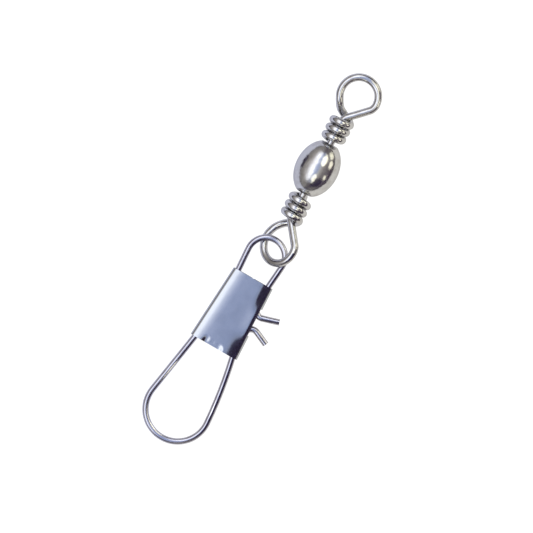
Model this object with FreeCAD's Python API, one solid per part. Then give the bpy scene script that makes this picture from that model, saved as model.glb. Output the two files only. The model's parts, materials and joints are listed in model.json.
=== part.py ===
import FreeCAD, Part
import os
from math import acos, asin, atan2, cos, degrees, hypot, pi, radians, sin, sqrt, tan

os.makedirs("parts", exist_ok=True)
V = FreeCAD.Vector

# A barrel swivel with an interlock snap, lying on a table. Sizes are in mm.
# The swivel lies along +Y with its free eye ahead, and +Z is up from the table.

# Barrel: a hollow egg of plated brass with rolled-in noses
barrel_length = 6.94
barrel_diameter = 5.46
nose_cut = 0.28                  # length that each flat nose takes off the egg's full ellipse
barrel_wall = 0.50
nose_thickness = 0.60
nose_rounding = 0.18

# Eye wire: one wire makes the head, the shank, the ring and the wrap
eye_wire = 0.98
shank_clearance = 0.06           # between the shank and the hole in the nose
head_diameter = 1.90
head_thickness = 0.65
head_rounding = 0.15
head_gap = 0.05                  # head to the inside of the nose

# Wrap of the eye wire round its own shank: each turn runs nearly level in front and climbs behind
wrap_clearance = 0.13            # between the shank and the wrap
wrap_pitch = 1.05
wrap_turns = 2                   # whole turns between the top and the lowest front run
front_run = 140                  # degrees of each turn that run nearly level
front_pitch = 0.30
wrap_tail = 100                  # degrees of the wire's end behind the lowest front run
wrap_blend = 22
wrap_nose_gap = 0.03             # end of the wrap to the barrel's nose
crossing_pitch = 3.50            # the steeper turn where the wire passes behind the shank
crossing_start = 8               # degrees behind the shank's right side
crossing_end = 120
crossing_blend = 28
crossing_lead = 0.45
crossing_bend = 2.00

# Ring of each eye
ring_radius = 2.40
upper_ring_height = 3.774        # ring centre past the top of the wrap
lower_ring_height = 3.914
ring_offset = 0.40               # ring centre to the right of the shank
shoulder_radius = 1.40           # tighter bend where the ring meets its right strand
neck_height = 0.430              # corner of the right strand past the top of the wrap
neck_bend = 0.75
ring_end_angle = 205             # where the ring turns into its left strand
left_strand_lead = 0.75
left_strand_bend = 1.70

# Lie of the swivel: the snap's eye is rolled on the shank until it meets the table
lower_eye_roll = 35

# Snap wire, in the plane of the snap, with the hook's centre as its origin
snap_wire = 0.80
hook_radius = 2.40
loop_radius = 4.05
loop_reach = 22.10               # loop centre below the hook centre
arm_bow = 60.0                   # radius of the slightly bowed spring arm
leg_bend = 3.0
arm_lead = 0.50                  # straight start of the arm inside the sleeve
tail_length = 3.35
tail_bend = 0.90
tail_spacing = 0.91              # between the corners of the two tails
upper_tail_drop = 4.13           # corner of the upper tail below the sleeve's mouth
upper_tail_lift = 17             # degrees
lower_tail_droop = 24

# Sleeve: one folded sheet round both legs of the snap wire
sheet = 0.20
sleeve_clearance = 0.03
sleeve_length = 9.90
sleeve_mouth_width = 5.60
sleeve_foot_width = 6.65
sleeve_drop = 3.15               # mouth of the sleeve below the hook centre
seam_gap = 0.25
window_margin = 0.12             # window past the tails' bends, and round the wire

# Lie of the snap
hook_gap = 0.08                  # hook above the ring that it hangs on
hook_crossing = 120.5            # where the hook crosses the ring, in degrees round the hook
ring_crossing = 4.5              # and where on the ring, in degrees past its left side
snap_swing = -2.0                # the snap is turned a little from the swivel's line

# Values that follow from the sizes above
wire_r = eye_wire / 2
snap_r = snap_wire / 2
nose_y = barrel_length / 2
egg_length = barrel_length + 2 * nose_cut
cavity_y = nose_y - nose_thickness
hole_r = wire_r + shank_clearance
wrap_radius = eye_wire + wrap_clearance
wrap_start = nose_y + wrap_nose_gap + wire_r
top_run = 90 + front_run / 2 + crossing_start
back_run = 360 - front_run
back_pitch = (360 * wrap_pitch - front_run * front_pitch) / back_run
wrap_height = wrap_turns * wrap_pitch + (top_run * front_pitch + wrap_tail * back_pitch) / 360
wrap_top = wrap_start + wrap_height
neck_z = wrap_top + neck_height
fold_inner = snap_r + sleeve_clearance
fold_outer = fold_inner + sheet
sleeve_foot = sleeve_drop + sleeve_length


def polar(centre, radius, angle):
    """Point at an angle in degrees round a centre, in the XY plane."""
    return centre + V(radius * cos(radians(angle)), radius * sin(radians(angle)), 0)


def line(start, end):
    return Part.LineSegment(start, end).toShape()


def arc(centre, radius, start, end):
    """Arc in the XY plane from one angle to another, in degrees."""
    points = [polar(centre, radius, a) for a in (start, (start + end) / 2, end)]
    return Part.Arc(*points).toShape()


def touch(point, centre, radius):
    """The lean from +Y, in degrees, of the line from a point that touches a circle's right side."""
    reach = hypot(centre.x - point.x, centre.y - point.y)
    return degrees(atan2(centre.x - point.x, centre.y - point.y) + asin(radius / reach))


def bent(points, radii):
    """Straight runs through the points, with an arc of the given radius at each inner point."""
    edges = []
    start = points[0]
    for before, corner, after, radius in zip(points, points[1:], points[2:], radii):
        back = (before - corner).normalize()
        ahead = (after - corner).normalize()
        half = (pi - back.getAngle(ahead)) / 2
        inset = radius * tan(half)
        centre = corner + (back + ahead).normalize() * (radius / cos(half))
        middle = centre + (corner - centre).normalize() * radius
        edges.append(line(start, corner + back * inset))
        edges.append(Part.Arc(corner + back * inset, middle, corner + ahead * inset).toShape())
        start = corner + ahead * inset
    edges.append(line(start, points[-1]))
    return edges


def swept(edges, diameter):
    """Round wire along a path of edges that runs on smoothly from one to the next."""
    path = Part.Wire(edges)
    first = path.OrderedEdges[0]
    start = path.OrderedVertexes[0].Point
    heading = first.tangentAt(first.FirstParameter)
    section = Part.Wire([Part.makeCircle(diameter / 2, start, heading)])
    return path.makePipeShell([section], True, False)


def wrap_corners():
    """Angle in degrees and height of each change of slope, from the wire's end up to the crossing."""
    runs = [(wrap_tail, back_pitch)] + wrap_turns * [(front_run, front_pitch), (back_run, back_pitch)]
    runs += [(top_run, front_pitch), (crossing_end - crossing_start, crossing_pitch)]
    angle = crossing_start - top_run - 360 * wrap_turns - wrap_tail
    height = wrap_start
    corners = [(angle, height)]
    for run, pitch in runs:
        angle += run
        height += run * pitch / 360
        corners.append((angle, height))
    return corners


def wrap_edges():
    """The whole wrap with its crossing, drawn as a bent line on an unrolled cylinder."""
    cylinder = Part.Cylinder()
    cylinder.Radius = wrap_radius
    corners = [FreeCAD.Base.Vector2d(radians(a), h) for a, h in wrap_corners()]
    edges = []
    start = corners[0]
    for before, corner, after in zip(corners, corners[1:], corners[2:]):
        blend = radians(crossing_blend if after == corners[-1] else wrap_blend)
        bend_start = corner + (before - corner) * (blend / (corner.x - before.x))
        bend_end = corner + (after - corner) * (blend / (after.x - corner.x))
        curve = Part.Geom2d.BezierCurve2d()
        curve.setPoles([bend_start, corner, bend_end])
        edges.append(Part.Geom2d.Line2dSegment(start, bend_start).toShape(cylinder))
        edges.append(curve.toShape(cylinder))
        start = bend_end
    edges.append(Part.Geom2d.Line2dSegment(start, corners[-1]).toShape(cylinder))
    return edges


def upright(edge):
    """Turns an edge drawn in the XY plane up into the ring's plane."""
    return edge.rotated(V(0, 0, 0), V(1, 0, 0), 90)


def eye_edges(ring_height):
    """Path of an eye: up the shank, round the ring, behind the shank and down the wrap."""
    ring = V(ring_offset, wrap_top + ring_height, 0)
    shoulder = ring + V(ring_radius - shoulder_radius, 0, 0)
    neck = V(0, neck_z, 0)
    lean = touch(neck, shoulder, shoulder_radius)
    shank_start = V(0, cavity_y - head_gap - head_thickness / 2, 0)
    strand_end = polar(shoulder, shoulder_radius, -lean)
    flat = bent([shank_start, neck, strand_end], [neck_bend])
    flat.append(arc(shoulder, shoulder_radius, -lean, 0))
    flat.append(arc(ring, ring_radius, 0, ring_end_angle))

    wrap = wrap_edges()
    top = wrap[-1]
    wrap_end = top.valueAt(top.LastParameter)
    onward = top.tangentAt(top.LastParameter)
    ring_end = polar(ring, ring_radius, ring_end_angle)
    leaving = polar(V(0, 0, 0), 1, ring_end_angle + 90)
    left_corner = ring_end + leaving * left_strand_lead
    crossing_corner = wrap_end + onward * crossing_lead
    strand = bent(
        [V(ring_end.x, 0, ring_end.y), V(left_corner.x, 0, left_corner.y), crossing_corner, wrap_end],
        [left_strand_bend, crossing_bend],
    )
    return [upright(e) for e in flat] + strand + wrap[::-1]


def eye(ring_height):
    """One eye with its shank along +Z, its ring's right side at +X and its front at -Y."""
    wire = swept(eye_edges(ring_height), eye_wire)
    head_z = cavity_y - head_gap - head_thickness
    head = Part.makeCylinder(head_diameter / 2, head_thickness, V(0, 0, head_z))
    head = head.makeFillet(head_rounding, [e for e in head.Edges if e.Closed])
    return wire.fuse(head).removeSplitter()


def egg(length, diameter, end_y):
    """Half section edge of an ellipse of revolution along Y, cut off at both ends."""
    ellipse = Part.Ellipse(V(0, length / 2, 0), V(diameter / 2, 0, 0), V(0, 0, 0))
    from_pole = acos(end_y / (length / 2))
    return ellipse.toShape(from_pole, pi - from_pole)


def barrel():
    """Hollow egg, turned about the swivel's line, with a hole through each nose."""
    outer = egg(egg_length, barrel_diameter, nose_y)
    inner = egg(egg_length - 2 * barrel_wall, barrel_diameter - 2 * barrel_wall, cavity_y)
    sections = []
    for edge, y in ((outer, nose_y), (inner, cavity_y)):
        rim = edge.valueAt(edge.FirstParameter).x
        corners = [V(rim, y, 0), V(0, y, 0), V(0, -y, 0), V(rim, -y, 0)]
        sides = [line(a, b) for a, b in zip(corners, corners[1:])]
        face = Part.Face(Part.Wire([edge] + sides))
        sections.append(face.revolve(V(0, 0, 0), V(0, 1, 0), 360))
    hole = Part.makeCylinder(hole_r, barrel_length, V(0, -nose_y, 0), V(0, 1, 0))
    shell = sections[0].cut(sections[1]).cut(hole)
    rims = [e for e in shell.Edges if e.Closed and abs(abs(e.CenterOfMass.y) - nose_y) < nose_rounding / 2]
    return shell.makeFillet(nose_rounding, rims)


def fold_x(y):
    """Distance from the snap's middle to the wire in the sleeve's fold, at a height."""
    share = (-sleeve_drop - y) / sleeve_length
    width = sleeve_mouth_width + (sleeve_foot_width - sleeve_mouth_width) * share
    return width / 2 - fold_outer


def tail_corner(y):
    return V(fold_x(y), y, 0)


def upper_tail():
    return tail_corner(-sleeve_drop - upper_tail_drop)


def lower_tail():
    return tail_corner(-sleeve_drop - upper_tail_drop - tail_spacing)


def snap_wire_edges():
    """Path of the snap wire: upper tail, hook, left leg, loop, spring arm and lower tail."""
    mouth = V(fold_x(-sleeve_drop), -sleeve_drop, 0)
    foot = V(fold_x(-sleeve_foot), -sleeve_foot, 0)
    hook = V(0, 0, 0)
    loop = V(0, -loop_reach, 0)
    hook_lean = touch(mouth, hook, hook_radius)
    loop_lean = touch(V(foot.x, -foot.y, 0), V(0, loop_reach, 0), loop_radius)

    tip = polar(upper_tail(), tail_length, upper_tail_lift)
    edges = bent([tip, upper_tail(), mouth, polar(hook, hook_radius, -hook_lean)], [tail_bend, leg_bend])
    edges.append(arc(hook, hook_radius, -hook_lean, 180 + hook_lean))

    left_mouth = V(-mouth.x, mouth.y, 0)
    left_foot = V(-foot.x, foot.y, 0)
    hook_end = polar(hook, hook_radius, 180 + hook_lean)
    loop_start = polar(loop, loop_radius, 180 - loop_lean)
    edges += bent([hook_end, left_mouth, left_foot, loop_start], [leg_bend, leg_bend])

    # The arm's arc passes through the sleeve's foot and touches the loop from outside.
    span = hypot(foot.x - loop.x, foot.y - loop.y)
    inside = arm_bow - loop_radius
    opening = degrees(acos((inside ** 2 + span ** 2 - arm_bow ** 2) / (2 * inside * span)))
    arm_start = degrees(atan2(foot.y - loop.y, foot.x - loop.x)) + opening - 180
    arm_centre = polar(loop, inside, arm_start + 180)
    arm_end = degrees(atan2(foot.y - arm_centre.y, foot.x - arm_centre.x))
    edges.append(arc(loop, loop_radius, 180 - loop_lean, 360 + arm_start))
    edges.append(arc(arm_centre, arm_bow, arm_start, arm_end))

    lead = polar(foot, arm_lead, arm_end + 90)
    tip = polar(lower_tail(), tail_length, -lower_tail_droop)
    edges += bent([foot, lead, lower_tail(), tip], [leg_bend, tail_bend])
    return edges


def stadium(y, half_width, radius):
    """Outline across the snap: two flats joined by half rounds."""
    right = Part.Arc(V(half_width, y, -radius), V(half_width + radius, y, 0), V(half_width, y, radius)).toShape()
    left = Part.Arc(V(-half_width, y, radius), V(-half_width - radius, y, 0), V(-half_width, y, -radius)).toShape()
    top = line(V(half_width, y, radius), V(-half_width, y, radius))
    bottom = line(V(-half_width, y, -radius), V(half_width, y, -radius))
    return Part.Wire([right, top, left, bottom])


def pocket(radius):
    """Tapered form with round folds of one radius, from the sleeve's foot to its mouth."""
    ends = [stadium(y, fold_x(y), radius) for y in (-sleeve_foot, -sleeve_drop)]
    return Part.makeLoft(ends, True, True)


def window():
    """Slot through the right fold, from the upper tail's bend to the lower one's."""
    inset = tail_bend + window_margin
    top = upper_tail() + V(0, inset * tan(radians(45 + upper_tail_lift / 2)), 0)
    foot = lower_tail() - V(0, inset * tan(radians(45 + lower_tail_droop / 2)), 0)
    height = 2 * (snap_r + window_margin / 2)
    depth = 2 * fold_outer
    return Part.makeBox(depth, top.y - foot.y, height, V(top.x, foot.y, -height / 2))


def sleeve():
    seam = Part.makeBox(seam_gap, sleeve_length, fold_outer, V(-seam_gap / 2, -sleeve_foot, -fold_outer))
    return pocket(fold_outer).cut(pocket(fold_inner)).cut(seam).cut(window())


def table_tilt():
    """Tilt at which the barrel's belly and the rolled ring both touch the table."""
    roll = sin(radians(lower_eye_roll))
    tilt = 0.0
    for _ in range(20):
        high = belly_height(tilt) + ring_offset * roll - wire_r
        drop = ring_radius * sqrt(sin(tilt) ** 2 + (roll * cos(tilt)) ** 2)
        tilt = asin((high - drop) / (wrap_top + lower_ring_height))
    return tilt


def belly_height(tilt):
    """Height of the barrel's middle when it lies on its belly."""
    return hypot(barrel_diameter / 2 * cos(tilt), egg_length / 2 * sin(tilt))


def lie_of_swivel():
    tilt = table_tilt()
    return FreeCAD.Placement(V(0, 0, belly_height(tilt)), FreeCAD.Rotation(V(1, 0, 0), degrees(tilt)))


def lie_of_lower_eye():
    roll = FreeCAD.Placement(V(0, 0, 0), FreeCAD.Rotation(V(0, 1, 0), -lower_eye_roll))
    return lie_of_swivel().multiply(roll)


def lie_of_snap():
    """The hook rests on the left side of the lower ring, and the loop's end on the table."""
    ring = V(ring_offset, -wrap_top - lower_ring_height, 0)
    ring_side = lie_of_lower_eye().multVec(polar(ring, ring_radius, 180 + ring_crossing))
    crossing = polar(V(0, 0, 0), hook_radius, hook_crossing)
    lift = ring_side.z + wire_r + hook_gap + snap_r
    slope = asin((lift - snap_r) / (crossing.y + loop_reach + loop_radius))
    turn = FreeCAD.Rotation(V(0, 0, 1), snap_swing)
    rotation = turn.multiply(FreeCAD.Rotation(V(1, 0, 0), degrees(slope)))
    origin = V(ring_side.x, ring_side.y, lift) - rotation.multVec(crossing)
    return FreeCAD.Placement(origin, rotation)


def pieces():
    """Every piece in its place on the table, by its name."""
    along = FreeCAD.Placement(V(0, 0, 0), FreeCAD.Rotation(V(1, 0, 0), -90))
    upper = eye(upper_ring_height).transformed(along.toMatrix())
    lower = eye(lower_ring_height).transformed(along.toMatrix()).mirror(V(0, 0, 0), V(0, 1, 0))
    swivel = lie_of_swivel().toMatrix()
    snap = lie_of_snap().toMatrix()
    return {
        "barrel": barrel().transformed(swivel),
        "upper_eye": upper.transformed(swivel),
        "lower_eye": lower.transformed(lie_of_lower_eye().toMatrix()),
        "snap_wire": swept(snap_wire_edges(), snap_wire).transformed(snap),
        "sleeve": sleeve().transformed(snap),
    }


def main():
    shapes = pieces()
    box = Part.makeCompound(list(shapes.values())).optimalBoundingBox()
    middle = V(-box.Center.x, -box.Center.y, 0)
    for name, shape in shapes.items():
        shape.translate(middle)
        shape.exportStep(f"parts/{name}.step")
        print(name, shape.ShapeType, "valid" if shape.isValid() else "not valid", round(shape.Volume, 3), "mm3")
    hinge = lie_of_snap()
    for label, point in (
        ("barrel centre", lie_of_swivel().Base),
        ("hook centre", hinge.Base),
        ("upper ring centre", lie_of_swivel().multVec(V(ring_offset, wrap_top + upper_ring_height, 0))),
        ("loop centre", hinge.multVec(V(0, -loop_reach, 0))),
    ):
        print(label, [round(c, 3) for c in point + middle])
    swivel_line = lie_of_swivel().Rotation.multVec(V(0, 1, 0))
    print("swivel line", [round(c, 5) for c in swivel_line])
    print("snap normal", [round(c, 5) for c in hinge.Rotation.multVec(V(0, 0, 1))])


main()
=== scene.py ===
# %% [markdown]
# # Dressing a fishing snap swivel
#
# The part is a small swivel for a fishing line: a hollow barrel, an eye of bent wire at each end,
# and a spring wire snap with a folded sleeve. Everything is bright plated metal about fifty
# millimetres long. The exact solids come from the frame, so this lesson adds what they don't
# have: the pressed shape of the sleeve, the finish of each metal, and the soft light that
# polished metal needs to look like metal.

# %% Load the frame
import json
from math import asin, degrees, pi, radians, tan

import bpy
from mathutils import Matrix, Vector


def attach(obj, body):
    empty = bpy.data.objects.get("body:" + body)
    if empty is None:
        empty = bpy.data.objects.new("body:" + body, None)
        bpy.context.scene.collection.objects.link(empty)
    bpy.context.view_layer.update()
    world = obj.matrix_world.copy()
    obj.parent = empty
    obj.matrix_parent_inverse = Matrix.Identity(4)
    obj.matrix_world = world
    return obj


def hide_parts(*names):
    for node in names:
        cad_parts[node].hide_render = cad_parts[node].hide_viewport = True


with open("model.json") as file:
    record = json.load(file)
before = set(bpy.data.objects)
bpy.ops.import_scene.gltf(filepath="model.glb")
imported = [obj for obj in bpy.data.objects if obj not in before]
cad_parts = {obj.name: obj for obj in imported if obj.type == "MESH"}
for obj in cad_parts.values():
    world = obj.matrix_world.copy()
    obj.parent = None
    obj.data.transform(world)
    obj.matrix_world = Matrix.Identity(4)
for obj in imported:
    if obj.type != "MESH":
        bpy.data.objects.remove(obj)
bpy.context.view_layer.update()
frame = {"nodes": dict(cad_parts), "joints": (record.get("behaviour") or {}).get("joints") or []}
bpy.context.scene.view_settings.view_transform = "Standard"
mm = 0.001
print("CAD nodes:", sorted(frame["nodes"]))

# %% [markdown]
# ## The camera
#
# The photograph looks straight down on the part, which lies slantwise across the picture. A long
# lens from half a metre keeps the near barrel and the far wires at one scale, as a copy stand
# does. The slant could also come from turning the part. The camera is turned about its line of
# sight instead, so the part itself stays square to its own axes.

# %% Place the camera
picture_width = 66.62 * mm
lens = 300.0
sensor = 36.0
aim = Vector((0.53, -0.77, 2.0)) * mm
turn = radians(28.0)

camera_data = bpy.data.cameras.new("copy_stand_camera")
camera_data.lens = lens
camera_data.sensor_width = sensor
distance = picture_width * lens / sensor
camera_data.clip_start = distance * 0.01
camera_data.clip_end = distance * 100
camera = bpy.data.objects.new("copy_stand_camera", camera_data)
bpy.context.scene.collection.objects.link(camera)
camera.location = aim + Vector((0, 0, distance))
camera.rotation_euler = (0, 0, turn)
bpy.context.scene.camera = camera
print("camera", round(distance / mm), "mm above, turned", round(degrees(turn), 1), "degrees")

# %% [markdown]
# ## Shader sums
#
# A finish is easier to read as a sum than as a drawing of boxes and threads. This class wraps one
# socket, so that `1 - mask` or `cloud * 0.2 + 0.1` adds the Math nodes itself. Its `node` method
# makes every other kind of node: the settings go in first, then the values or links of its
# sockets.

# %% A socket that can be used in sums
class Field:
    def __init__(self, tree, socket):
        self.tree = tree
        self.socket = socket

    @classmethod
    def node(cls, tree, kind, settings=None, sockets=None, output=0):
        made = tree.nodes.new(kind)
        for name, value in (settings or {}).items():
            if name == "stops":
                for place, colour in value[2:]:
                    made.color_ramp.elements.new(place)
                for stop, (place, colour) in zip(made.color_ramp.elements, value):
                    stop.position = place
                    stop.color = colour
            else:
                setattr(made, name, value)
        for name, value in (sockets or {}).items():
            if isinstance(value, Field):
                tree.links.new(value.socket, made.inputs[name])
            else:
                made.inputs[name].default_value = value
        return cls(tree, made.outputs[output])

    def math(self, operation, first, second):
        sockets = {0: first, 1: second}
        return Field.node(self.tree, "ShaderNodeMath", {"operation": operation}, sockets)

    def __add__(self, other):
        return self.math("ADD", self, other)

    __radd__ = __add__

    def __mul__(self, other):
        return self.math("MULTIPLY", self, other)

    __rmul__ = __mul__

    def __sub__(self, other):
        return self.math("SUBTRACT", self, other)

    def __rsub__(self, other):
        return self.math("SUBTRACT", other, self)

    def ramp(self, low, high):
        """0 below low, 1 above high, and a smooth rise between."""
        return Field.node(
            self.tree,
            "ShaderNodeMapRange",
            {"interpolation_type": "SMOOTHSTEP"},
            {"Value": self, "From Min": low, "From Max": high, "To Min": 0.0, "To Max": 1.0},
        )


print("shader sums ready")


# %% Small shader helpers
def plain_material(name):
    made = bpy.data.materials.new(name)
    made.use_nodes = True
    made.node_tree.nodes.clear()
    return made, made.node_tree


def show(field, output="ShaderNodeOutputMaterial"):
    """Ends a material, or the world, with this shader."""
    out = field.tree.nodes.new(output)
    field.tree.links.new(field.socket, out.inputs["Surface"])


def two_tones(tree, share, first, second):
    """A colour that runs from the first to the second as share runs from 0 to 1."""
    sockets = {0: share, 6: first, 7: second}
    return Field.node(tree, "ShaderNodeMix", {"data_type": "RGBA"}, sockets, output=2)


def shine(tree, colour, strength, kind="ShaderNodeEmission"):
    return Field.node(tree, kind, None, {"Color": colour, "Strength": strength})


def matt(tree, colour):
    return Field.node(tree, "ShaderNodeBsdfDiffuse", None, {"Color": colour})


def mixed(tree, share, first, second):
    """The first shader where share is 0, and the second where it is 1."""
    return Field.node(tree, "ShaderNodeMixShader", None, {0: share, 1: first, 2: second})


def object_place(tree):
    return Field.node(tree, "ShaderNodeTexCoord", output="Object")


def part_of(place, axis):
    return Field.node(place.tree, "ShaderNodeSeparateXYZ", None, {0: place}, axis)


def seen_by(tree, ray):
    """1 for this kind of ray and 0 for the others."""
    return Field.node(tree, "ShaderNodeLightPath", output=ray)


print("shader helpers ready")

# %% [markdown]
# ## Floor and backdrop
#
# The part lies on a white sheet that fills the picture. More light would turn the sheet white,
# but it would burn out the metal on it. So the sheet is pale and matt, and the camera also sees
# it as evenly lit: it comes out white while the part's shadow stays. Polished metal mirrors that
# sheet in its steep flanks, which gives every wire and the barrel their pale rims, so mirror rays
# see it too: cool on the left and warm on the right. Past the sheet the room is dim, and its edge
# draws the dark line inside each rim.

# %% Lay the floor
sheet_radius = 0.9
warm_from, warm_to = -4 * mm, 4 * mm
cool_paper = (0.78, 0.80, 0.94, 1)
warm_paper = (0.90, 0.87, 0.80, 1)
pale_paper = (0.86, 0.86, 0.86, 1)
white = (1, 1, 1, 1)
evenly_lit = 1.25
share_lit = 0.78
share_mirrored = 0.9

bpy.ops.object.select_all(action="DESELECT")
bpy.ops.mesh.primitive_circle_add(
    vertices=64, radius=sheet_radius, fill_type="NGON", location=(0, 0, 0)
)
floor = bpy.context.object
floor.name = "white_sheet"
paper, tree = plain_material("white_paper")
to_the_right = part_of(object_place(tree), "X").ramp(warm_from, warm_to)
cool_to_warm = two_tones(tree, to_the_right, cool_paper, warm_paper)
sheet = mixed(
    tree,
    seen_by(tree, "Is Camera Ray") * share_lit,
    matt(tree, pale_paper),
    shine(tree, white, evenly_lit),
)
show(mixed(
    tree,
    seen_by(tree, "Is Glossy Ray") * share_mirrored,
    sheet,
    shine(tree, cool_to_warm, 1.0),
))
floor.data.materials.append(paper)
print("floor", [round(v, 2) for v in floor.dimensions], "m")

# %% Dim the room round it
dim_tone = (0.105, 0.095, 0.12, 1)
world = bpy.data.worlds.new("dim_room")
bpy.context.scene.world = world
world.use_nodes = True
tree = world.node_tree
tree.nodes.clear()
room = shine(tree, dim_tone, 1.0, "ShaderNodeBackground")
backdrop = shine(tree, white, 1.0, "ShaderNodeBackground")
show(mixed(tree, seen_by(tree, "Is Camera Ray"), room, backdrop), "ShaderNodeOutputWorld")
print("room light is dim, and the camera sees white behind the part")

# %% [markdown]
# ## Soft light
#
# Polished metal has hardly any colour of its own: it shows what stands round it. The barrel in
# the photograph is a small map of the studio. On its left lies the white reflection of a long
# window, which fades away into a grey wall. Overhead it is bluish, and on the right the room is
# dim.
#
# A paper vault over the part can carry all of that at once. Light falls on it unevenly from
# outside, so it shines with a different tone at each angle round the part, and less towards its
# two ends. Soft changes of tone are what a vault gives, and separate hard-edged lamps would not.

# %% Stretch a paper vault over the part
vault_radius = 0.40
vault_length = 3.0
vault_foot = 0.004
ends_from, ends_to = 0.72 * vault_radius, 1.35 * vault_radius

bpy.ops.object.select_all(action="DESELECT")
bpy.ops.mesh.primitive_cylinder_add(
    vertices=96,
    radius=vault_radius,
    depth=vault_length,
    end_fill_type="NOTHING",
    rotation=(radians(90), 0, 0),
)
vault = bpy.context.object
vault.name = "paper_vault"
bpy.ops.object.transform_apply(location=True, rotation=True, scale=True)
bpy.ops.object.mode_set(mode="EDIT")
bpy.ops.mesh.select_all(action="SELECT")
bpy.ops.mesh.bisect(plane_co=(0, 0, vault_foot), plane_no=(0, 0, 1), clear_inner=True)
bpy.ops.object.mode_set(mode="OBJECT")
print("vault", [round(v, 2) for v in vault.dimensions], "m")

# %% [markdown]
# Each tone below stands at an angle from overhead, in degrees, with the left negative. A colour
# ramp can't hold more than 1, so the tones are stored as shares of the brightest that is allowed.

# %% Light the vault
tones_over_the_middle = [
    (-90, (0.22, 0.20, 0.20)),
    (-80, (0.27, 0.25, 0.25)),
    (-66, (0.34, 0.32, 0.30)),
    (-54, (0.50, 0.47, 0.45)),
    (-43, (0.76, 0.73, 0.73)),
    (-34, (1.40, 1.40, 1.45)),
    (-24, (1.85, 1.90, 2.00)),
    (-13, (1.85, 1.90, 2.00)),
    (-7, (0.72, 0.80, 1.08)),
    (0, (0.42, 0.51, 0.78)),
    (7, (0.50, 0.56, 0.74)),
    (14, (0.64, 0.63, 0.62)),
    (24, (0.48, 0.45, 0.42)),
    (34, (0.30, 0.27, 0.27)),
    (50, (0.22, 0.20, 0.21)),
    (66, (0.17, 0.14, 0.17)),
    (80, (0.07, 0.05, 0.08)),
    (90, (0.03, 0.02, 0.04)),
]
tones_over_the_ends = [
    (-90, (0.14, 0.13, 0.13)),
    (-66, (0.34, 0.32, 0.30)),
    (-30, (0.30, 0.28, 0.27)),
    (0, (0.11, 0.09, 0.11)),
    (30, (0.22, 0.20, 0.20)),
    (66, (0.20, 0.18, 0.18)),
    (90, (0.07, 0.06, 0.07)),
]
brightest = 2.0


def toned(turned, tones):
    stops = [(0.5 + angle / 180, (*[c / brightest for c in tone], 1)) for angle, tone in tones]
    return Field.node(turned.tree, "ShaderNodeValToRGB", {"stops": stops}, {0: turned})


glow, tree = plain_material("paper_vault")
place = object_place(tree)
across, along, height = (part_of(place, axis) for axis in "XYZ")
turned = across.math("ARCTAN2", across, height) * (1 / pi) + 0.5
ends = along.math("ABSOLUTE", along, 0.0).ramp(ends_from, ends_to)
in_the_middle = toned(turned, tones_over_the_middle)
at_the_ends = toned(turned, tones_over_the_ends)
show(shine(tree, two_tones(tree, ends, in_the_middle, at_the_ends), brightest))
vault.data.materials.append(glow)
vault.visible_camera = False
print("vault lit with", len(tones_over_the_middle), "tones round the part")

# %% [markdown]
# The cream patches on the right of the barrel are small warm lamps. Painted on, they would stay
# put when the view changes, so each one is a lamp, hung in the direction it is seen in from the
# barrel: how far it leans from overhead to the right, and how far along the part. Most hang
# close, so that only the barrel and its eyes catch them. The last one hangs over the loop of the
# snap, whose lower left corner has a cream patch too.

# %% Hang the warm lamps
swivel_middle = Vector((0.36, 13.0, 2.7)) * mm
loop_corner = Vector((-3.2, -24.9, 0.5)) * mm


def lamp(name, lean, along, spread, stretch, tone, reach, seen_from=swivel_middle):
    """A lamp that leans to the right and along, this wide and long, all in degrees."""
    toward = Vector((tan(radians(lean)), tan(radians(along)), 1)).normalized()
    data = bpy.data.lights.new(name, "AREA")
    data.shape = "ELLIPSE"
    data.size = 2 * reach * tan(radians(spread / 2))
    data.size_y = 2 * reach * tan(radians(stretch / 2))
    brightness = max(tone)
    data.color = [c / brightness for c in tone]
    # The power that gives an ellipse of this size its brightness.
    data.energy = brightness * pi * data.size * data.size_y * pi / 4
    hung = bpy.data.objects.new(name, data)
    bpy.context.scene.collection.objects.link(hung)
    side = Vector((0, 1, 0)).cross(toward).normalized()
    up = toward.cross(side)
    facing = Matrix((side, up, toward)).transposed().to_4x4()
    hung.matrix_world = Matrix.Translation(seen_from + toward * reach) @ facing
    hung.visible_camera = False
    print(f"{name}: {data.size:.3f} by {data.size_y:.3f} m, {data.energy:.4f} W")


# Each line gives the lean, the angle along, the width, the length, the tone and the distance.
lamp("lamp_one", 18, 27, 25, 34, (0.92, 0.90, 0.68), 0.0246)
lamp("lamp_one_far", 18, 27, 25, 34, (0.85, 0.83, 0.62), 0.30)
lamp("lamp_two", 9, -34, 19, 26, (1.5, 1.45, 1.1), 0.018)
lamp("lamp_three", 60, 38, 20, 22, (1.6, 1.55, 1.2), 0.028)
lamp("lamp_four", 56, -27, 13, 11, (1.5, 1.45, 1.1), 0.015)
lamp("lamp_five", 60, 66, 26, 24, (1.4, 1.38, 1.05), 0.12)
lamp("lamp_six", 46, 54, 30, 36, (1.7, 1.65, 1.25), 0.008, loop_corner)

# %% [markdown]
# On the right of the snap, something dark stood close to the part: the right side of its wires
# and the flank of its sleeve are nearly black. A black card hangs low there. A second one stands
# on the left of the swivel, where the barrel and its coils have a short dark outline.

# %% Hang the black cards
card_tone = (0.075, 0.055, 0.115, 1)
black, tree = plain_material("black_card")
show(matt(tree, card_tone))


def card(name, place, size, tilt):
    """A black card, tilted about the part's length. The camera and the light don't see it."""
    bpy.ops.object.select_all(action="DESELECT")
    bpy.ops.mesh.primitive_plane_add(size=1, location=place, rotation=(0, tilt, 0))
    hung = bpy.context.object
    hung.name = name
    hung.scale = (*size, 1)
    bpy.ops.object.transform_apply(location=True, rotation=True, scale=True)
    hung.data.materials.append(black)
    hung.visible_camera = False
    hung.visible_shadow = False
    hung.visible_diffuse = False
    print(name, [round(v / mm) for v in hung.dimensions], "mm")


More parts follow.
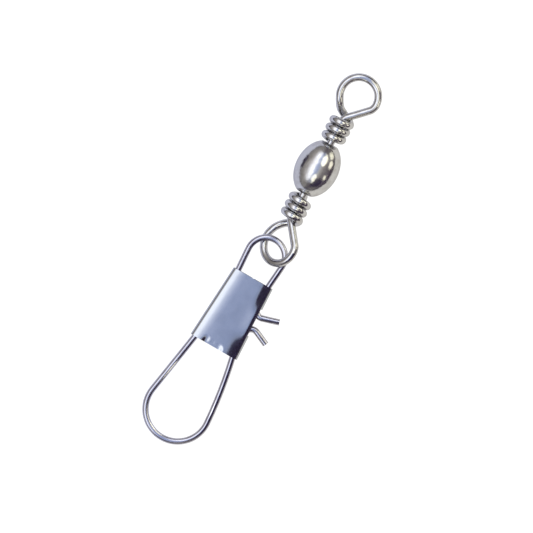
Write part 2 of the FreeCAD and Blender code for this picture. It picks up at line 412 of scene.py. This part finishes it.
card("card_over_the_snap", place=(0.0235, -0.0175, 0.022), size=(0.039, 0.036), tilt=0)
card("card_by_the_swivel", place=(-0.050, 0.013, 0.009), size=(0.016, 0.026), tilt=radians(90))

# %% [markdown]
# ## The sleeve
#
# The sleeve is one strip of thin sheet, bent round both legs of the snap wire and closed at a
# seam behind. A press leaves it a little proud between the wires, pulled tight beside its window,
# with a small dent and a bowed press mark at its foot. Polished sheet shows each of these as a
# change of tone. The CAD solid has flat faces and even folds, so a formed piece replaces it.
#
# An outline drawn out along the snap would do for a plain sleeve. Here an open tube is pulled
# apart to both sides instead, because it brings the even rows of vertices that the taper and the
# pressing take hold of. The sizes below repeat those of the solid. The piece is made in the
# snap's own frame, with the hook at the origin, and laid in its place at the end.

# %% The sleeve's place and sizes
sheet_thickness = 0.20 * mm
fold_outer = 0.63 * mm
mouth_width = 5.60 * mm
foot_width = 6.65 * mm
mouth_y = -3.15 * mm
sleeve_length = 9.90 * mm
foot_y = mouth_y - sleeve_length
seam_gap = 0.25 * mm
window_top = -5.90 * mm
window_foot = -9.76 * mm
window_half_height = 0.46 * mm

hinge = next(j for j in frame["joints"] if j["name"] == "snap_swing")
snap_swing = radians(-2.0)
snap_slope = asin(-Vector(hinge["axis"]).normalized().y)
lie_of_snap = (
    Matrix.Translation(Vector(hinge["pos_m"]))
    @ Matrix.Rotation(snap_swing, 4, "Z")
    @ Matrix.Rotation(snap_slope, 4, "X")
)
print("sleeve", round(sleeve_length / mm, 2), "mm long in the snap's own frame")


# %% Helpers for work in edit mode
def pick(piece, test, kind="VERT"):
    """Selects the vertices, edges or faces that pass a test on their place, and nothing else."""
    bpy.ops.mesh.select_mode(type=kind)
    bpy.ops.mesh.select_all(action="DESELECT")
    bpy.ops.object.mode_set(mode="OBJECT")
    mesh = piece.data
    parts = {"VERT": mesh.vertices, "EDGE": mesh.edges, "FACE": mesh.polygons}[kind]
    count = 0
    for part in parts:
        if kind == "VERT":
            points = [part.co]
        else:
            points = [mesh.vertices[i].co for i in part.vertices]
        part.select = test(points)
        count += part.select
    bpy.ops.object.mode_set(mode="EDIT")
    return count


def each(test):
    """A test that every point of an element has to pass."""
    return lambda points: all(test(p) for p in points)


def middle(points):
    return sum(points, Vector()) / len(points)


def push(by, reach=0.0):
    """Moves what is selected, and takes the sheet round it along as far as the reach."""
    bpy.ops.transform.translate(
        value=by,
        use_proportional_edit=reach > 0,
        use_proportional_connected=reach > 0,
        proportional_edit_falloff="SMOOTH",
        proportional_size=max(reach, 0.1 * mm),
    )


print("edit helpers ready")

# %% Bend a tube into the folded sheet
tiny = 0.001 * mm
rows = 24
cuts_across = 6
half = mouth_width / 2 - fold_outer

bpy.ops.object.select_all(action="DESELECT")
bpy.ops.mesh.primitive_cylinder_add(
    vertices=48,
    radius=fold_outer,
    depth=sleeve_length,
    end_fill_type="NOTHING",
    location=(0, mouth_y - sleeve_length / 2, 0),
    rotation=(radians(90), 0, 0),
)
sleeve = bpy.context.object
sleeve.name = "pressed_sleeve"
bpy.ops.object.transform_apply(location=True, rotation=True, scale=True)
bpy.ops.object.mode_set(mode="EDIT")
for side in (1, -1):
    pick(sleeve, each(lambda p: p.x * side > tiny))
    push((side * half, 0, 0))

# The flats are divided across, and then the whole tube along its length.
pick(sleeve, lambda ps: len(ps) == 2 and abs(ps[0].x - ps[1].x) > half * 0.9, "EDGE")
bpy.ops.mesh.subdivide(number_cuts=cuts_across)
pick(sleeve, lambda ps: abs(ps[0].y - ps[1].y) > sleeve_length * 0.9, "EDGE")
bpy.ops.mesh.subdivide(number_cuts=rows - 1)
bpy.ops.object.mode_set(mode="OBJECT")
print("folded tube:", len(sleeve.data.polygons), "faces so far")

# %% Taper it to the wider foot
same_row = 20 * tiny
widening = (foot_width - mouth_width) / 2


def row_place(row):
    """How far along the snap a row of vertices lies."""
    return mouth_y - sleeve_length * row / rows


bpy.ops.object.mode_set(mode="EDIT")
for row in range(1, rows + 1):
    y = row_place(row)
    for side in (1, -1):
        pick(sleeve, each(lambda p: abs(p.y - y) < same_row and p.x * side > tiny))
        push((side * widening * row / rows, 0, 0))
bpy.ops.object.mode_set(mode="OBJECT")
print("tapered sleeve, mm:", [round(v / mm, 2) for v in sleeve.dimensions])

# %% Cut the window and the seam
def in_window(points):
    p = middle(points)
    return p.x > half and abs(p.z) < window_half_height and window_foot < p.y < window_top


def in_seam(points):
    p = middle(points)
    return abs(p.x) < seam_gap / 8 and p.z < 0


bpy.ops.object.mode_set(mode="EDIT")
print("window faces:", pick(sleeve, in_window, "FACE"))
bpy.ops.mesh.delete(type="FACE")
pick(sleeve, each(lambda p: abs(p.x) < 5 * tiny and p.z < 0), "EDGE")
bpy.ops.mesh.bevel(offset=seam_gap / 2, segments=1)
print("seam faces:", pick(sleeve, in_seam, "FACE"))
bpy.ops.mesh.delete(type="FACE")
bpy.ops.object.mode_set(mode="OBJECT")

# %% [markdown]
# ### The pressed face
#
# The face stands a little proud between the folds, and its crest runs along the right. To the
# left it falls in one gentle slope. To the right it is drawn down steeply over the leg at the
# mouth, and again, further in, at the foot, while beside the window it stays up as a slight
# ridge. The steep parts mirror the dark side of the room, so they show as a dark band that
# narrows in the middle.
#
# A sculpting brush would do this by eye. Lifts in millimetres can be read and changed, so they
# are given at three stations along the sleeve, for each line of vertices across the face, and the
# face is lifted one spot at a time. The left shoulder of the fold is squarer than a half round.
# It is lifted too, line by line down to its side.

# %% Give the lifts
lines = (-2.25, -1.93, -1.61, -1.29, -0.96, -0.32, 0.32, 0.96, 1.29, 1.61, 1.93, 2.25)
lift_at_mouth = (
    0.013, 0.052, 0.075, 0.092, 0.101, 0.107, 0.114, 0.120, 0.124, 0.112, 0.060, 0.004,
)
lift_by_window = (
    0.013, 0.052, 0.075, 0.092, 0.101, 0.106, 0.112, 0.122, 0.132, 0.146, 0.162, 0.175,
)
lift_at_foot = (
    0.013, 0.052, 0.075, 0.092, 0.101, 0.112, 0.124, 0.122, 0.108, 0.080, 0.043, -0.004,
)
window_from, window_to = 4.6, 7.2
foot_from, foot_to = 8.6, 11.8
ridge_from, ridge_to = 2.29, 2.66
ridge_lift = 0.155
shoulder = (
    (-2.33, 0.019), (-2.41, 0.029), (-2.485, 0.040), (-2.555, 0.053), (-2.615, 0.064),
    (-2.67, 0.074), (-2.715, 0.081), (-2.752, 0.083), (-2.778, 0.078), (-2.795, 0.060),
)


def smooth(low, high, value):
    share = min(max((value - low) / (high - low), 0), 1)
    return share * share * (3 - 2 * share)


def between(stations, values, x, hair=0.01):
    """The value at x on the straight lines between the stations, give or take a hair."""
    for (x0, v0), (x1, v1) in zip(zip(stations, values), zip(stations[1:], values[1:])):
        if x <= x1 + hair:
            return v0 + (v1 - v0) * (x - x0) / (x1 - x0)
    return values[-1]


def inner(p):
    """How far across a point would be without the taper, in mm."""
    spread = widening / mm * (mouth_y - p.y) / sleeve_length
    return p.x / mm - spread * (p.x > tiny) + spread * (p.x < -tiny)


print("lifts at", len(lines), "lines of the face and", len(shoulder), "of the shoulder")

# %% Lift the face
same_line = 0.03
same_shoulder_line = 0.008
face_foot = 0.2 * mm
shoulder_foot = 0.05 * mm

bpy.ops.object.mode_set(mode="EDIT")
points = [v.co for v in sleeve.data.vertices]
top_line = [p for p in points if p.z > fold_outer * 0.99 and p.y > mouth_y - tiny]
lines_across = sorted(p.x / mm for p in top_line)
print("lines across the face:", [round(x, 2) for x in lines_across])
for row in range(rows + 1):
    y = row_place(row)
    by_window = smooth(window_from, window_to, -y / mm)
    at_foot = smooth(foot_from, foot_to, -y / mm)
    for x in lines_across:
        lift = between(lines, lift_at_mouth, x)
        lift += (between(lines, lift_by_window, x) - lift) * by_window
        lift += (between(lines, lift_at_foot, x) - lift) * at_foot
        pick(sleeve, each(
            lambda p: p.z > 0 and abs(p.y - y) < same_row and abs(inner(p) - x) < same_line))
        push((0, 0, lift * mm))
    pick(sleeve, each(
        lambda p: p.z > face_foot and abs(p.y - y) < same_row
        and ridge_from < inner(p) < ridge_to))
    push((0, 0, by_window * (1 - at_foot) * ridge_lift * mm))

for x, lift in shoulder:
    pick(sleeve, each(lambda p: p.z > shoulder_foot and abs(inner(p) - x) < same_shoulder_line))
    push((0, 0, lift * mm))
bpy.ops.object.mode_set(mode="OBJECT")
print("face lifted by up to", max(lift_by_window), "mm")

# %% Divide the sheet finely
fine = sleeve.modifiers.new("fine", "SUBSURF")
fine.levels = 2
fine.boundary_smooth = "PRESERVE_CORNERS"
bpy.ops.object.modifier_apply(modifier="fine")
print("fine sheet:", len(sleeve.data.polygons), "faces")

# %% [markdown]
# ### Dent and press mark
#
# A tool has left a bowed mark at the foot, where the edge of the sheet is turned down by a hair,
# and a small dent at the left end of that mark. A bump in the finish would leave the edge
# straight, so both are pushed into the sheet, with the sheet round them following.

# %% Push in the marks
mark_left, mark_right = -1.25 * mm, 0.75 * mm
mark_height = 0.12 * mm
mark_depth = 0.13 * mm
mark_reach = 0.70 * mm
dent_left, dent_right = -1.45 * mm, -1.15 * mm
dent_foot, dent_top = -12.72 * mm, -12.35 * mm
dent_depth = 0.03 * mm
dent_reach = 0.42 * mm


def in_mark(p):
    return p.z > face_foot and p.y < foot_y + mark_height and mark_left < p.x < mark_right


def in_dent(p):
    return p.z > face_foot and dent_foot < p.y < dent_top and dent_left < p.x < dent_right


bpy.ops.object.mode_set(mode="EDIT")
print("edge turned down:", pick(sleeve, each(in_mark)))
push((0, 0, -mark_depth), mark_reach)
print("dent:", pick(sleeve, each(in_dent)))
push((0, 0, -dent_depth), dent_reach)
bpy.ops.object.mode_set(mode="OBJECT")

# %% Give the sheet its thickness and lay it in place
sharpest_fold = radians(40)

bpy.ops.object.mode_set(mode="EDIT")
bpy.ops.mesh.select_all(action="SELECT")
bpy.ops.mesh.remove_doubles(threshold=tiny)
bpy.ops.mesh.normals_make_consistent(inside=False)
bpy.ops.object.mode_set(mode="OBJECT")
wall = sleeve.modifiers.new("wall", "SOLIDIFY")
wall.thickness = sheet_thickness
wall.offset = -1.0
wall.use_even_offset = True
bpy.ops.object.modifier_apply(modifier="wall")
bpy.ops.object.shade_smooth_by_angle(angle=sharpest_fold)
sleeve.matrix_world = lie_of_snap
bpy.ops.object.transform_apply(location=True, rotation=True, scale=True)
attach(sleeve, "snap")
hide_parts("sleeve")
size = [round(v / mm, 2) for v in sleeve.dimensions]
print("sleeve:", len(sleeve.data.polygons), "faces,", size, "mm")

# %% [markdown]
# ## The finishes
#
# All four metals are bright nickel over brass or steel, but they don't look alike. Tumbled
# barrels carry a slight orange peel that breaks reflections into patches. Bent wire has draw
# lines and scuffs. Rolled sheet is smoother and a little duller.
#
# A drawn pattern would have to be wrapped round each wire. Noise fills the space the wire lies
# in, with no wrapping and no seam, so each finish is built on it: one metal colour, slightly
# uneven, with its own roughness and a very low bump. The noise reads Object coordinates in
# metres, so its scales are in turns per metre.

# %% Ground for a plated metal
flank_tint = (0.74, 0.74, 0.76, 1)
patch_from, patch_to = 0.42, 0.66
speck_from, speck_to = 0.35, 0.75


def noise(tree, size, detail, roughness):
    return Field.node(
        tree,
        "ShaderNodeTexNoise",
        {"noise_dimensions": "3D"},
        {"Vector": object_place(tree), "Scale": 1 / size, "Detail": detail, "Roughness": roughness},
    )


def plating(name, colour, shade, rough, wave, grain):
    """Bright plate with duller patches. Rough is (least, most), wave and grain (size, height)."""
    made, tree = plain_material(name)
    cloud = noise(tree, wave[0], detail=2.0, roughness=0.5)
    speck = noise(tree, grain[0], detail=3.0, roughness=0.6)
    patch = cloud.ramp(patch_from, patch_to)
    waved = Field.node(
        tree, "ShaderNodeBump", None, {"Strength": 1.0, "Distance": wave[1], "Height": cloud}
    )
    grained = Field.node(
        tree,
        "ShaderNodeBump",
        None,
        {"Strength": 1.0, "Distance": grain[1], "Height": speck, "Normal": waved},
    )
    show(Field.node(
        tree,
        "ShaderNodeBsdfPrincipled",
        None,
        {
            "Base Color": two_tones(tree, patch, (*colour, 1), (*shade, 1)),
            "Metallic": 1.0,
            "Roughness": rough[0] + (rough[1] - rough[0]) * speck.ramp(speck_from, speck_to),
            "Specular Tint": flank_tint,
            "Normal": grained,
        },
    ))
    print("finish", name)
    return made


def dress(finish, *pieces):
    for piece in pieces:
        piece.data.materials.clear()
        piece.data.materials.append(finish)


print("ground ready")

# %% Dress the pieces
nickel = (0.62, 0.62, 0.63)
dull_nickel = (0.54, 0.53, 0.53)
nodes = frame["nodes"]

tumbled = plating(
    "tumbled_nickel", nickel, dull_nickel,
    rough=(0.16, 0.24), wave=(1.1 * mm, 0.045 * mm), grain=(0.14 * mm, 0.0005 * mm),
)
drawn = plating(
    "drawn_nickel", nickel, dull_nickel,
    rough=(0.14, 0.20), wave=(0.9 * mm, 0.020 * mm), grain=(0.12 * mm, 0.0003 * mm),
)
spring = plating(
    "spring_wire_nickel", (0.55, 0.55, 0.62), (0.48, 0.47, 0.54),
    rough=(0.15, 0.22), wave=(1.4 * mm, 0.012 * mm), grain=(0.12 * mm, 0.0003 * mm),
)
rolled = plating(
    "rolled_sheet_nickel", (0.49, 0.51, 0.55), (0.46, 0.48, 0.52),
    rough=(0.14, 0.18), wave=(2.2 * mm, 0.006 * mm), grain=(0.10 * mm, 0.0005 * mm),
)
dress(tumbled, nodes["barrel"])
dress(drawn, nodes["upper_eye"], nodes["lower_eye"])
dress(spring, nodes["snap_wire"])
dress(rolled, sleeve, nodes["sleeve"])
print("dressed", len(nodes) + 1, "pieces")
